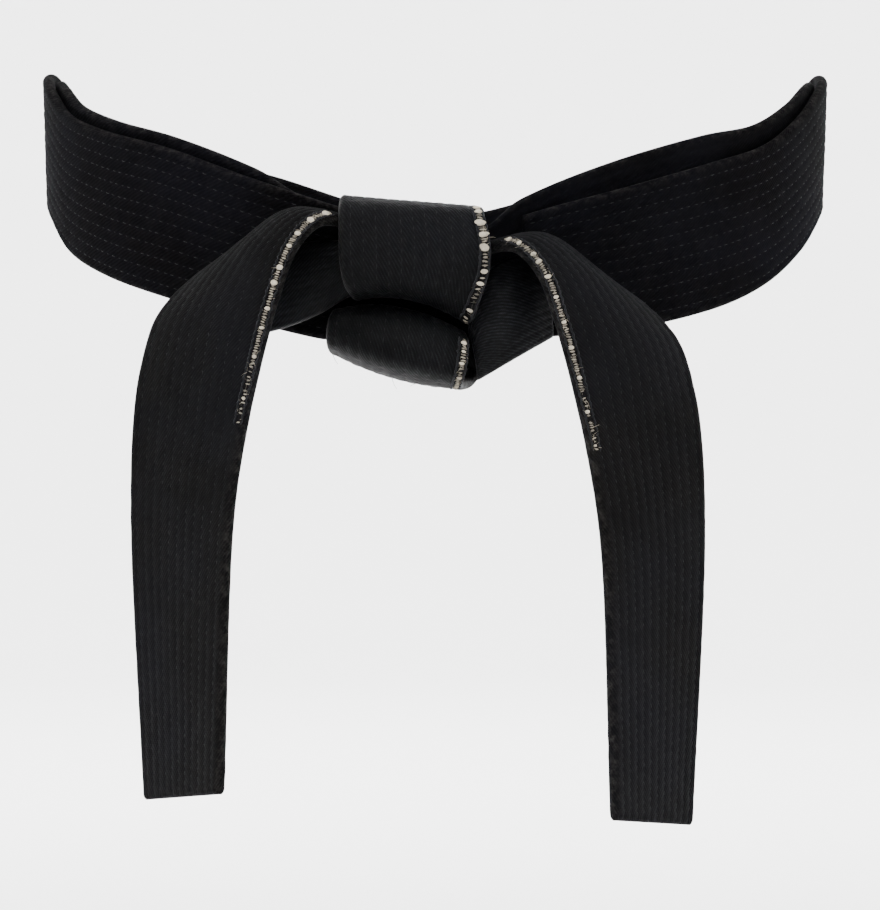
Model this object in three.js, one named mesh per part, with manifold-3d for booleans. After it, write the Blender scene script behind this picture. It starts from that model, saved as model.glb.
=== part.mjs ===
// A quilted martial arts belt, tied in a flat square knot round an empty waist.
// Millimetres, +Z up, the wearer faces -Y. The origin is the middle of the waist opening.
// Every stretch of the belt is a sewn cover with a batting core inside it, and each hanging
// end is jointed at three creases.
import * as THREE from "three";
import { mergeVertices } from "three/addons/utils/BufferGeometryUtils.js";
import Module from "manifold-3d";

const wasm = await Module();
wasm.setup();

// Belt section
const BELT_WIDTH = 50;
const BELT_THICKNESS = 4.5;
const COVER_WALL = 0.9;
const CORE_CLEARANCE = 0.3;
const EDGE_BEVEL = 1;
const LAYER_GAP = 0.3;

// Waist opening, measured over the outer wrap
const WAIST_BREADTH = 299;
const WAIST_DEPTH = 216;
const WAIST_FLARE = 0.8;

// Hanging ends
const TAIL_DROP = 127;
const TAIL_CREASE_SPACING = 40;
const FIRST_CREASE_DROP = 7;
const LEFT_TAIL_LIFT = 8.8;
const CREASE_SLIT = 0.4;
const CREASE_BEVEL_DEGREES = 32;

// Exposed core along a worn edge
const FRAY_RADIUS = 0.8;
const FRAY_CLEARANCE = 0.3;
const FRAY_INSET = 2;
const FRAY_SIDES = 6;

// One belt thickness and the air beside it: depths in the knot are counted in layers
const LAYER = BELT_THICKNESS + LAYER_GAP;
const HALF = BELT_THICKNESS / 2;

const BLACK_COTTON = { color: 0x17181c, roughness: 0.92, metalness: 0 };
const BLACK_COTTON_KNOT = { color: 0x1b1c22, roughness: 0.8, metalness: 0 };
const WHITE_BATTING = { color: 0xd8d2c4, roughness: 0.95, metalness: 0 };
const CREAM_FRAY = { color: 0xc9bfae, roughness: 0.95, metalness: 0 };

// ---------------------------------------------------------------- waist wraps

// Going left from the front round the back: angle in degrees, height of the lower edge,
// share of the belt's width that stands up there, and how far the inner wrap stands higher.
const WAIST_RUN = [
  [16, -15, 0.97, 2],
  [26, -9, 1.02, 3.5],
  [40, 0, 1.08, 4],
  [54, 9.2, 1.06, 4],
  [66, 19, 1.03, 3.5],
  [76, 31.5, 1, 1.5],
  [86, 39, 1, -2],
  [96, 41, 1, -7],
  [106, 32.5, 1, -6],
  [120, 24.5, 1, -3],
  [150, 11, 1, 0],
  [180, -6, 1, 0],
  [210, 10.5, 1, 0],
  [240, 24, 1, -2],
  [254, 32, 1, -5],
  [264, 40.5, 1, -6],
  [274, 38.5, 1, -2],
  [284, 31, 1, 2],
  [294, 19, 1.02, 4.5],
  [306, 5.5, 1.03, 7.5],
  [318, -4, 1.06, 10],
  [334, -12, 1, 10],
  [348, -15, 0.86, 6],
];
// The inner wrap carries on behind the knot, gathered by it.
const BEHIND_KNOT_RUN = [
  [353, -16.5, 0.775, 2],
  [360, -15.5, 0.78, 0],
  [368, -12.5, 0.78, 0],
  [373, -11, 0.78, 0],
  [378, -12, 0.9, 0],
];
// Both wraps have their cross lines at the same angles, so that they lie evenly on each other.
const OUTER_WRAP_START = 16;
const OUTER_WRAP_STEPS = 44;
const INNER_WRAP_SKIPS = 1;
const INNER_WRAP_STEPS = 47;
const WRAP_STEP = (348 - OUTER_WRAP_START) / OUTER_WRAP_STEPS;
const WRAP_GAP = 0.5;

// How far the inner wrap curves back at the sides of the knot, and the depth, in layers, at
// which a strand passes behind it.
const KNOT_SIDE = 32.5;
const KNOT_RIGHT = BELT_WIDTH - KNOT_SIDE;
const BACK_PASS_GAP = 0.9;
const INNER_INSET = HALF + BELT_THICKNESS + WRAP_GAP;
const innerSlope = KNOT_SIDE / (WAIST_BREADTH / 2 - INNER_INSET);
const innerRecess = (WAIST_DEPTH / 2 - INNER_INSET) * (1 - Math.sqrt(1 - innerSlope ** 2));
const BACK = -(INNER_INSET + HALF + innerRecess + HALF + BACK_PASS_GAP) / LAYER;

// ---------------------------------------------------------------- knot strands

// Each row is one cross line of a strand: the first edge's x, depth in layers outside the
// outer wrap and z; the way across to the second edge, in belt widths; and the crown, how
// far the middle of the line bows out, in millimetres.
const FRONT_WRAP = [
  [[-KNOT_SIDE, BACK, 22.6], [1, 0, -0.1], [0, 0, 0]],
  [[-KNOT_SIDE, BACK + 0.24, 26.4 + 1.6 * HALF], [1, 0, -0.09], [0, 0, 0]],
  [[-KNOT_SIDE, -1.6, 30.75 + HALF], [1, 0, -0.085], [0, 0, 0]],
  [[-32.6, 0.85, 29.75 + HALF], [0.98, 0, -0.085], [0, 0, 0]],
  [[-32.6, 3.3, 29.05 + HALF], [0.97, 0, -0.08], [0, 0, 0]],
  [[-32.6, 5.2, 22 + BELT_THICKNESS], [0.995, 0, -0.05], [0, -0.5, 0.3]],
  [[-32.5, 5.85, 18], [1.03, 0, -0.03], [0, -1, 0]],
  [[-32.2, 5.95, 10], [1.02, 0, -0.06], [0, -1, 0]],
  [[-31, 5.5, 3], [0.94, 0, -0.1], [0, -1, 2]],
  [[-29, 4.4, -0.8], [0.85, 0.01, -0.17], [0, 0, 4.5]],
  [[-27.8, 3.2, -1.5], [0.8, 0, -0.17], [0, 0, 5]],
];
const ROLL_RIGHT = 0.95 * BELT_WIDTH - 36.8;
const LOWER_ROLL = [
  [[-34, 1.3, -7.8], [0.88, -0.06, -0.17], [0, 0, 4]],
  [[-35.5, 2.8, -8.2], [0.93, -0.12, -0.17], [0, -1, 5.2]],
  [[-36.5, 3.5, -11], [0.96, -0.16, -0.19], [0, -4, 2.5]],
  [[ROLL_RIGHT - 0.95 * BELT_WIDTH, 2.8, -15.5], [0.95, -0.23, -0.22], [0, -7, -1]],
  [[-36.5, 1, -15.55 - HALF], [0.92, -0.26, -0.25], [0, -5, -2.5]],
  [[-35.5, -0.85, -15.75 - HALF], [0.91, -0.16, -0.26], [0, 0, -2.5]],
  [[-34.5, BACK + 0.79, -16.15 - HALF], [0.93, -0.06, -0.25], [0, 0, -1.5]],
  [[-33.5, BACK + 0.07, -15.05 - HALF], [0.96, 0, -0.25], [0, 0, -0.5]],
  [[-KNOT_SIDE, BACK, -14.4], [1, 0, -0.24], [0, 0, 0]],
];
const BACK_PASS = [
  [[-KNOT_SIDE, BACK, -13.6], [1, 0, -0.24], [0, 0, 0]],
  [[-KNOT_SIDE, BACK, 0], [1, 0, -0.18], [0, 0, 0]],
  [[-KNOT_SIDE, BACK, 21.8], [1, 0, -0.1], [0, 0, 0]],
];
const LEFT_BAND = [
  [[-51 - 0.2 * BELT_WIDTH, 0.85, 16], [0, 0, -0.6], [0, 0, 0]],
  [[-51, 1.1, 17], [0, 0, -0.57], [0, -2, 0]],
  [[-40, 1.7, 18], [0.02, 0.02, -0.49], [0, -3, 0]],
  [[-31, 2.1, 18], [0.04, 0.01, -0.38], [0, -2, 0]],
  [[-24, 2.2, 17], [0.05, 0, -0.33], [0, -1, 0]],
];
// The right band seats under the right hanging end and tucks in beside the lower roll.
const DRAPE_SEAT = [
  KNOT_RIGHT + 8 + 0.25 * BELT_WIDTH,
  6.375 - 0.1125 * BELT_WIDTH,
  11.1 + 0.07 * BELT_WIDTH,
];
const TUCK_DEPTH = 0.048 * BELT_WIDTH - 0.2;
const RIGHT_BAND = [
  [DRAPE_SEAT, [0.06, 0, -0.59], [0, 0, 0]],
  [[KNOT_RIGHT + 10.5, 1.3, 13], [0.14, 0, -0.62], [1, -4, 0]],
  [[KNOT_RIGHT + 1.5, 1.9, 8], [0.18, 0, -0.6], [1, -5, 0]],
  [[ROLL_RIGHT + 0.55 + HALF, TUCK_DEPTH, -3], [0.12, 0, -0.48], [1, -4, 0]],
  [[ROLL_RIGHT + 0.25 + HALF, TUCK_DEPTH, -14], [0.03, 0, -0.32], [0, -2, 0]],
];

// ---------------------------------------------------------------- hanging ends

// The right end, from under the knot down to just above its first crease.
const TAIL_DRAPE = [
  [[KNOT_RIGHT - 8.5, 2.6, 13], [0.08, 0.18, 0], [0, 0, 0]],
  [[KNOT_RIGHT - 0.5, 3.9, 15], [0.14, 0.35, 0.04], [1, -1, 0.5]],
  [[KNOT_RIGHT + 9.5, 5.7, 13.5], [0.25, 0.54, 0.07], [3, -3, 3]],
  [[KNOT_RIGHT + 17.5, 7.1, 4], [0.43, 0.68, 0.03], [4, -4, 3.5]],
  [[KNOT_RIGHT + 22.5, 7.8, -10], [0.64, 0.72, 0.11], [3.5, -4, 2]],
  [[KNOT_RIGHT + 26.5, 8.1, -24], [0.79, 0.63, 0.14], [2.5, -3, 0.5]],
  [[KNOT_RIGHT + 30, 8.3, -38], [0.83, 0.57, 0.08], [1, -1.5, 0]],
  [[KNOT_RIGHT + 33.1, 8.3, -51], [0.82, 0.57, 0.01], [0, 0, 0]],
];
// Below that it hangs straight, turning edge-on: share of the drop, x, depth, way across.
const TAIL_FALL = [
  [0.26, KNOT_RIGHT + 38.5, 8.3, [0.74, 0.68, -0.02]],
  [1, KNOT_RIGHT + 42.3, 8.3, [0.58, 0.8, -0.13]],
];
// The left end mirrors the right one about a line just right of the knot's middle.
const TAIL_MIRROR_X = (KNOT_RIGHT - KNOT_SIDE) / 2 + 1.8;
const TAIL_STEPS = 24;
const TAIL_HEM_SHARE = 0.01;
const TAIL_PARTS = ["drape", "upper", "middle", "lower"];

// ---------------------------------------------------------------- shapes

const waistFront = -WAIST_DEPTH / 2;

// A place given by x, depth in layers in front of the outer wrap, and z.
function knotPoint([x, layersOut, z]) {
  return new THREE.Vector3(x, waistFront - layersOut * LAYER, z);
}

// A surface point(t, u): t runs along the strand and u across it, both from 0 to 1.
// facing is -1 on a strand whose first edge lies on the other hand, so that every face
// still looks away from the wearer.
function ruledBand(first, second, crown, facing = 1) {
  const curves = [first, second, crown].map((points) => {
    return new THREE.CatmullRomCurve3(points, false, "centripetal");
  });
  const inside = (t, u) => {
    const [a, b, c] = curves.map((curve) => curve.getPoint(t));
    return a.lerp(b, u).addScaledVector(c, 4 * u * (1 - u));
  };
  const reach = 1e-3;
  const point = (t, u) => {
    const held = THREE.MathUtils.clamp(t, 0, 1);
    const here = inside(held, u);
    if (t === held) return here;
    const back = inside(held + (t < 0 ? reach : -reach), u);
    return here.addScaledVector(here.clone().sub(back), Math.abs(t - held) / reach);
  };
  return { point, facing };
}

function bandFromRows(rows, facing = 1) {
  const first = rows.map(([edge]) => knotPoint(edge));
  const second = rows.map(([, across], i) => {
    return first[i].clone().add(new THREE.Vector3(...across).multiplyScalar(BELT_WIDTH));
  });
  const crown = rows.map(([, , bow]) => new THREE.Vector3(...bow));
  return ruledBand(first, second, crown, facing);
}

// One row of a run at any angle between its rows, on a smooth curve through them.
function runAt(run, degrees) {
  const after = run.findIndex(([angle]) => angle > degrees);
  const last = run.length - 1;
  const i = THREE.MathUtils.clamp(after < 0 ? last : after, 1, last) - 1;
  const slope = (k, column) => {
    const before = run[Math.max(k - 1, 0)];
    const beyond = run[Math.min(k + 1, last)];
    return (beyond[column] - before[column]) / (beyond[0] - before[0]);
  };
  const span = run[i + 1][0] - run[i][0];
  const s = (degrees - run[i][0]) / span;
  return run[i].map((value, column) => {
    const rise = run[i + 1][column] - value;
    const start = slope(i, column) * span;
    const finish = slope(i + 1, column) * span;
    return value + s * (start + s * (3 * rise - 2 * start - finish + s * (start + finish - 2 * rise)));
  });
}

// A stretch of the waist between two angles. riseShare is 1 on the inner wrap, 0 on the outer.
function waistBand(run, fromDegrees, toDegrees, inset, riseShare) {
  const edge = (degrees, top) => {
    const [, low, share, rise] = runAt(run, degrees);
    const angle = THREE.MathUtils.degToRad(degrees);
    const out = -inset + (top ? WAIST_FLARE : -WAIST_FLARE);
    return new THREE.Vector3(
      -(WAIST_BREADTH / 2 + out) * Math.sin(angle),
      -(WAIST_DEPTH / 2 + out) * Math.cos(angle),
      low + riseShare * rise + (top ? BELT_WIDTH * share : 0),
    );
  };
  const point = (t, u) => {
    const degrees = THREE.MathUtils.lerp(fromDegrees, toDegrees, t);
    return edge(degrees, true).lerp(edge(degrees, false), u);
  };
  return { point, facing: 1 };
}

// The way across the band, and out of its face, at one point.
function frameAt(band, t, u) {
  const step = 1e-3;
  const along = band.point(t + step, u).sub(band.point(t - step, u));
  const across = band.point(t, u + step).sub(band.point(t, u - step)).normalize();
  const out = along.cross(across).normalize().multiplyScalar(band.facing);
  return { across, out };
}

// One cross section as a closed ring of points: along the face, then back along the rear.
function sectionRing(band, t, { inset, half, bevel, columns }) {
  const width = band.point(t, 0).distanceTo(band.point(t, 1));
  const edge = inset / width;
  const places = [];
  if (bevel) places.push([edge, half - bevel]);
  const first = edge + bevel / width;
  for (let i = 0; i <= columns; i += 1) {
    places.push([THREE.MathUtils.lerp(first, 1 - first, i / columns), half]);
  }
  if (bevel) places.push([1 - edge, half - bevel]);
  const sheet = (side) => places.map(([u, height]) => {
    return band.point(t, u).addScaledVector(frameAt(band, t, u).out, side * height);
  });
  return [...sheet(1), ...sheet(-1).reverse()];
}

function closedSolid(rings) {
  const count = rings[0].length;
  const index = [];
  const quad = (a, b, c, d) => index.push(a, b, c, a, c, d);
  for (let i = 0; i + 1 < rings.length; i += 1) {
    for (let j = 0; j < count; j += 1) {
      const next = (j + 1) % count;
      quad(i * count + j, i * count + next, (i + 1) * count + next, (i + 1) * count + j);
    }
  }
  const last = (rings.length - 1) * count;
  for (let j = 0; j + 1 < count / 2; j += 1) {
    const far = count - 1 - j;
    quad(j, far, far - 1, j + 1);
    quad(last + j, last + j + 1, last + far - 1, last + far);
  }
  const geometry = new THREE.BufferGeometry().setFromPoints(rings.flat());
  geometry.setIndex(index);
  return geometry;
}

function toSolid(geometry) {
  const plain = geometry.clone();
  plain.deleteAttribute("normal");
  plain.deleteAttribute("uv");
  const merged = mergeVertices(plain, 1e-4);
  const triVerts = Uint32Array.from(merged.index.array);
  const vertProperties = Float32Array.from(merged.attributes.position.array);
  const build = () => new wasm.Manifold(new wasm.Mesh({ numProp: 3, vertProperties, triVerts }));
  const solid = build();
  if (solid.volume() > 0) return solid;
  triVerts.reverse();
  return build();
}

function toGeometry(solid) {
  const mesh = solid.getMesh();
  const geometry = new THREE.BufferGeometry();
  geometry.setAttribute("position", new THREE.BufferAttribute(mesh.vertProperties, 3));
  geometry.setIndex(new THREE.BufferAttribute(mesh.triVerts, 1));
  geometry.computeVertexNormals();
  return geometry;
}

// A solid strip along the band, with its two ends at start and end.
function loft(band, steps, section, start = 0, end = 1) {
  const rings = [];
  for (let i = 0; i <= steps; i += 1) {
    const t = i === 0 ? start : i === steps ? end : i / steps;
    rings.push(sectionRing(band, t, section));
  }
  return toSolid(closedSolid(rings));
}

// The sewn cover and the core that lies inside it. The cover is hollow from end to end, or
// sewn shut at its far end by a hem that takes up a share of its length.
function coverAndCore(band, steps, columns, hemShare = 0) {
  const coreInset = COVER_WALL + CORE_CLEARANCE;
  const skin = { inset: 0, half: HALF, bevel: EDGE_BEVEL, columns };
  const hollow = { inset: COVER_WALL, half: HALF - COVER_WALL, bevel: 0, columns };
  const filling = { inset: coreInset, half: HALF - coreInset, bevel: 0, columns };
  const overrun = 0.002;
  const hollowEnd = hemShare ? 1 - hemShare : 1 + overrun;
  const coreEnd = hemShare ? 1 - 1.3 * hemShare : 1;
  const cover = loft(band, steps, skin).subtract(loft(band, steps, hollow, -overrun, hollowEnd));
  return { cover, core: loft(band, steps, filling, 0, coreEnd) };
}

// A bow-tie prism whose waist is the crease: it parts the belt there and bevels both ends,
// so that they can fold either way.
function creaseCutter(band, t) {
  const { across, out } = frameAt(band, t, 0.5);
  const down = new THREE.Vector3().crossVectors(across, out).normalize();
  const reach = BELT_THICKNESS;
  const slit = CREASE_SLIT / 2;
  const mouth = slit + reach * Math.tan(THREE.MathUtils.degToRad(CREASE_BEVEL_DEGREES));
  const outline = new THREE.Shape([
    new THREE.Vector2(-mouth, reach),
    new THREE.Vector2(-slit, 0),
    new THREE.Vector2(-mouth, -reach),
    new THREE.Vector2(mouth, -reach),
    new THREE.Vector2(slit, 0),
    new THREE.Vector2(mouth, reach),
  ]);
  const length = BELT_WIDTH * 1.2;
  const prism = new THREE.ExtrudeGeometry(outline, { depth: length, bevelEnabled: false });
  prism.translate(0, 0, -length / 2);
  prism.applyMatrix4(new THREE.Matrix4().makeBasis(down, out, across));
  const middle = band.point(t, 0.5);
  prism.translate(middle.x, middle.y, middle.z);
  return toSolid(prism);
}

// A thin run of exposed core on the face of a strand, beside one of its edges.
function frayAlong(band, from, to, steps, atFirstEdge) {
  const stand = HALF + FRAY_RADIUS + FRAY_CLEARANCE;
  const rings = [];
  for (let i = 0; i <= steps; i += 1) {
    const t = THREE.MathUtils.lerp(from, to, i / steps);
    const inset = FRAY_INSET / band.point(t, 0).distanceTo(band.point(t, 1));
    const u = atFirstEdge ? inset : 1 - inset;
    const { across, out } = frameAt(band, t, u);
    const centre = band.point(t, u).addScaledVector(out, stand);
    const ring = [];
    for (let k = 0; k < FRAY_SIDES; k += 1) {
      const angle = (k / FRAY_SIDES) * 2 * Math.PI;
      ring.push(centre.clone()
        .addScaledVector(across, FRAY_RADIUS * Math.cos(angle))
        .addScaledVector(out, FRAY_RADIUS * Math.sin(angle)));
    }
    rings.push(ring);
  }
  return toSolid(closedSolid(rings));
}

// ---------------------------------------------------------------- the belt

const belt = new THREE.Group();

function add(name, solid, look) {
  const mesh = new THREE.Mesh(toGeometry(solid), new THREE.MeshStandardMaterial(look));
  mesh.name = name;
  belt.add(mesh);
}

function addStretch(name, band, steps, columns, look = BLACK_COTTON) {
  const { cover, core } = coverAndCore(band, steps, columns);
  add(name + "_cover", cover, look);
  add(name + "_core", core, WHITE_BATTING);
}

function addWaist() {
  const run = [...WAIST_RUN, ...BEHIND_KNOT_RUN];
  const outerEnd = OUTER_WRAP_START + OUTER_WRAP_STEPS * WRAP_STEP;
  const innerStart = OUTER_WRAP_START + INNER_WRAP_SKIPS * WRAP_STEP;
  const innerEnd = innerStart + INNER_WRAP_STEPS * WRAP_STEP;
  const outer = waistBand(run, OUTER_WRAP_START, outerEnd, HALF, 0);
  const inner = waistBand(run, innerStart, innerEnd, INNER_INSET, 1);
  addStretch("outer_wrap", outer, OUTER_WRAP_STEPS, 1);
  addStretch("inner_wrap", inner, INNER_WRAP_STEPS, 1);
}

function addKnot() {
  const frontWrap = bandFromRows(FRONT_WRAP);
  const lowerRoll = bandFromRows(LOWER_ROLL);
  addStretch("knot_front_wrap", frontWrap, 18, 3, BLACK_COTTON_KNOT);
  addStretch("knot_lower_roll", lowerRoll, 12, 3, BLACK_COTTON_KNOT);
  addStretch("knot_back_pass", bandFromRows(BACK_PASS), 2, 1, BLACK_COTTON_KNOT);
  addStretch("knot_left_band", bandFromRows(LEFT_BAND, -1), 6, 2, BLACK_COTTON_KNOT);
  addStretch("knot_right_band", bandFromRows(RIGHT_BAND), 6, 2, BLACK_COTTON_KNOT);
  add("knot_frayed_core", frayAlong(frontWrap, 0.42, 0.93, 12, false), CREAM_FRAY);
  add("knot_roll_frayed_core", frayAlong(lowerRoll, 0.2, 0.56, 6, false), CREAM_FRAY);
}

const creaseHeight = (i) => TAIL_DRAPE.at(-1)[0][2] - FIRST_CREASE_DROP - i * TAIL_CREASE_SPACING;

function tailRows(side) {
  const drapeFoot = TAIL_DRAPE.at(-1)[0][2];
  const fall = TAIL_FALL.map(([share, x, out, across]) => {
    return [[x, out, drapeFoot - share * TAIL_DROP], across, [0, 0, 0]];
  });
  const rows = [...TAIL_DRAPE, ...fall];
  if (side === "right") return rows;
  return rows.map(([[x, out, z], [ax, ay, az], [cx, cy, cz]]) => [
    [2 * TAIL_MIRROR_X - x, out, z + LEFT_TAIL_LIFT],
    [-ax, ay, az],
    [-cx, cy, cz],
  ]);
}

// Where the middle of the band reaches a height, by halving.
function paramAtHeight(band, height) {
  let high = 0.5;
  let low = 1;
  for (let i = 0; i < 40; i += 1) {
    const middle = (high + low) / 2;
    if (band.point(middle, 0.5).z > height) high = middle;
    else low = middle;
  }
  return high;
}

function addTail(side) {
  const rows = tailRows(side);
  const band = bandFromRows(rows, side === "left" ? -1 : 1);
  const lift = side === "left" ? LEFT_TAIL_LIFT : 0;
  const { cover, core } = coverAndCore(band, TAIL_STEPS, 2, TAIL_HEM_SHARE);
  const creases = [0, 1, 2].map((i) => paramAtHeight(band, creaseHeight(i) + lift));
  const cut = (solid) => {
    const parted = creases.reduce((rest, t) => rest.subtract(creaseCutter(band, t)), solid);
    const topOf = (piece) => piece.boundingBox().max[2];
    return parted.decompose().sort((a, b) => topOf(b) - topOf(a));
  };
  const covers = cut(cover);
  const cores = cut(core);
  TAIL_PARTS.forEach((part, i) => {
    add(`${side}_tail_${part}_cover`, covers[i], BLACK_COTTON);
    add(`${side}_tail_${part}_core`, cores[i], WHITE_BATTING);
  });
  const frayEnd = creases[0] - 0.012;
  add(`${side}_tail_frayed_core`, frayAlong(band, 0.17, frayEnd, 16, true), CREAM_FRAY);
}

addWaist();
addKnot();
addTail("left");
addTail("right");

export default belt;
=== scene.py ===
"""Looks for the quilted martial arts belt.

The shapes repeat part.mjs in millimetres, and the meshes are in metres.
"""
import math

import bmesh
import bpy
import numpy as np
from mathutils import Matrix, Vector


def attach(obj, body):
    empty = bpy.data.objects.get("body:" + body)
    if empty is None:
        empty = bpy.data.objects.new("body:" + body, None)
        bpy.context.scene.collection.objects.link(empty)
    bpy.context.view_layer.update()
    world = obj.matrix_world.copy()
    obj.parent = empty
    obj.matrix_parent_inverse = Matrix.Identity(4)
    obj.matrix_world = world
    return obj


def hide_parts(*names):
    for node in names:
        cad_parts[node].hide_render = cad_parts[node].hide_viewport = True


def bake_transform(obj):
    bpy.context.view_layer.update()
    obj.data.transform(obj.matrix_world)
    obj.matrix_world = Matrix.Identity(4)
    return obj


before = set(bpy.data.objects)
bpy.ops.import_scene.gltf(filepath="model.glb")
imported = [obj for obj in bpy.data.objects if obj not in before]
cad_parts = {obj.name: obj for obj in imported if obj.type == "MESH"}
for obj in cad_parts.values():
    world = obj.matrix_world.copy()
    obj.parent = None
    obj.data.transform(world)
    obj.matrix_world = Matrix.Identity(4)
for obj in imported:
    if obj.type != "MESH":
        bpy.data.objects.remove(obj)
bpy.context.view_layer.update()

MM = 0.001

# ------------------------------------------------------------------ sizes, as in part.mjs

WIDTH, THICK = 50.0, 4.5
HALF = THICK / 2
LAYER = THICK + 0.3
BREADTH, DEPTH, FLARE = 299.0, 216.0, 0.8
WRAP_GAP = 0.5
TAIL_DROP, CREASE_SPACING, FIRST_CREASE = 127.0, 40.0, 7.0
LEFT_LIFT, MIRROR_X = 8.8, -5.7
COVER_AND_ROOM = 1.2     # the cover's wall and the room round the core

RUN = np.array([
    [16, -15, .97, 2], [26, -9, 1.02, 3.5], [40, 0, 1.08, 4], [54, 9.2, 1.06, 4],
    [66, 19, 1.03, 3.5], [76, 31.5, 1, 1.5], [86, 39, 1, -2], [96, 41, 1, -7],
    [106, 32.5, 1, -6], [120, 24.5, 1, -3], [150, 11, 1, 0], [180, -6, 1, 0],
    [210, 10.5, 1, 0], [240, 24, 1, -2], [254, 32, 1, -5], [264, 40.5, 1, -6],
    [274, 38.5, 1, -2], [284, 31, 1, 2], [294, 19, 1.02, 4.5], [306, 5.5, 1.03, 7.5],
    [318, -4, 1.06, 10], [334, -12, 1, 10], [348, -15, .86, 6], [353, -16.5, .775, 2],
    [360, -15.5, .78, 0], [368, -12.5, .78, 0], [373, -11, .78, 0], [378, -12, .9, 0]], float)

FRONT_WRAP = [
    [[-32.5, -3.19, 22.6], [1, 0, -0.1], [0, 0, 0]],
    [[-32.5, -2.95, 30], [1, 0, -0.09], [0, 0, 0]],
    [[-32.5, -1.6, 33], [1, 0, -0.085], [0, 0, 0]],
    [[-32.6, 0.85, 32], [0.98, 0, -0.085], [0, 0, 0]],
    [[-32.6, 3.3, 31.3], [0.97, 0, -0.08], [0, 0, 0]],
    [[-32.6, 5.2, 26.5], [0.995, 0, -0.05], [0, -0.5, 0.3]],
    [[-32.5, 5.85, 18], [1.03, 0, -0.03], [0, -1, 0]],
    [[-32.2, 5.95, 10], [1.02, 0, -0.06], [0, -1, 0]],
    [[-31, 5.5, 3], [0.94, 0, -0.1], [0, -1, 2]],
    [[-29, 4.4, -0.8], [0.85, 0.01, -0.17], [0, 0, 4.5]],
    [[-27.8, 3.2, -1.5], [0.8, 0, -0.17], [0, 0, 5]]]
LOWER_ROLL = [
    [[-34, 1.3, -7.8], [0.88, -0.06, -0.17], [0, 0, 4]],
    [[-35.5, 2.8, -8.2], [0.93, -0.12, -0.17], [0, -1, 5.2]],
    [[-36.5, 3.5, -11], [0.96, -0.16, -0.19], [0, -4, 2.5]],
    [[-36.8, 2.8, -15.5], [0.95, -0.23, -0.22], [0, -7, -1]],
    [[-36.5, 1, -17.8], [0.92, -0.26, -0.25], [0, -5, -2.5]],
    [[-35.5, -0.85, -18], [0.91, -0.16, -0.26], [0, 0, -2.5]],
    [[-34.5, -2.4, -18.4], [0.93, -0.06, -0.25], [0, 0, -1.5]],
    [[-33.5, -3.12, -17.3], [0.96, 0, -0.25], [0, 0, -0.5]],
    [[-32.5, -3.19, -14.4], [1, 0, -0.24], [0, 0, 0]]]
BACK_PASS = [
    [[-32.5, -3.19, -14.5], [1, 0, -0.24], [0, 0, 0]],
    [[-32.5, -3.19, 0], [1, 0, -0.18], [0, 0, 0]],
    [[-32.5, -3.19, 21.8], [1, 0, -0.1], [0, 0, 0]]]
LEFT_BAND = [
    [[-61, 0.85, 16], [0, 0, -0.6], [0, 0, 0]],
    [[-51, 1.1, 17], [0, 0, -0.57], [0, -2, 0]],
    [[-40, 1.7, 18], [0.02, 0.02, -0.49], [0, -3, 0]],
    [[-31, 2.1, 18], [0.04, 0.01, -0.38], [0, -2, 0]],
    [[-24, 2.2, 17], [0.05, 0, -0.33], [0, -1, 0]]]
RIGHT_BAND = [
    [[38, 0.75, 14.6], [0.06, 0, -0.59], [0, 0, 0]],
    [[28, 1.3, 13], [0.14, 0, -0.62], [1, -4, 0]],
    [[19, 1.9, 8], [0.18, 0, -0.6], [1, -5, 0]],
    [[13.5, 2.2, -3], [0.12, 0, -0.48], [1, -4, 0]],
    [[13.2, 2.2, -14], [0.03, 0, -0.32], [0, -2, 0]]]
DRAPE = [
    [[9, 2.6, 13], [0.08, 0.18, 0], [0, 0, 0]],
    [[17, 3.9, 15], [0.14, 0.35, 0.04], [1, -1, 0.5]],
    [[27, 5.7, 13.5], [0.25, 0.54, 0.07], [3, -3, 3]],
    [[35, 7.1, 4], [0.43, 0.68, 0.03], [4, -4, 3.5]],
    [[40, 7.8, -10], [0.64, 0.72, 0.11], [3.5, -4, 2]],
    [[44, 8.1, -24], [0.79, 0.63, 0.14], [2.5, -3, 0.5]],
    [[47.5, 8.3, -38], [0.83, 0.57, 0.08], [1, -1.5, 0]],
    [[50.6, 8.3, -51], [0.82, 0.57, 0.01], [0, 0, 0]]]
FALL = [[0.26, 56, 8.3, [0.74, 0.68, -0.02]], [1, 59.8, 8.3, [0.58, 0.8, -0.13]]]


# ------------------------------------------------------------------ bands: point(t, u) in mm

def catmull(points, t):
    """three.js's centripetal CatmullRomCurve3.getPoint for an array of t."""
    pts = np.asarray(points, float)
    last = len(pts) - 1
    place = np.clip(t, 0, 1) * last
    i = np.minimum(place.astype(int), last - 1)
    w = (place - i)[..., None]
    ext = np.vstack([2 * pts[0] - pts[1], pts, 2 * pts[-1] - pts[-2]])
    p0, p1, p2, p3 = ext[i], ext[i + 1], ext[i + 2], ext[i + 3]
    span = lambda a, b: np.sum((a - b) ** 2, -1, keepdims=True) ** 0.25
    d0, d1, d2 = span(p0, p1), span(p1, p2), span(p2, p3)
    d1 = np.where(d1 < 1e-4, 1.0, d1)
    d0 = np.where(d0 < 1e-4, d1, d0)
    d2 = np.where(d2 < 1e-4, d1, d2)
    m1 = ((p1 - p0) / d0 - (p2 - p0) / (d0 + d1) + (p2 - p1) / d1) * d1
    m2 = ((p2 - p1) / d1 - (p3 - p1) / (d1 + d2) + (p3 - p2) / d2) * d1
    return p1 + m1 * w + (-3 * p1 + 3 * p2 - 2 * m1 - m2) * w ** 2 + (2 * p1 - 2 * p2 + m1 + m2) * w ** 3


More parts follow.
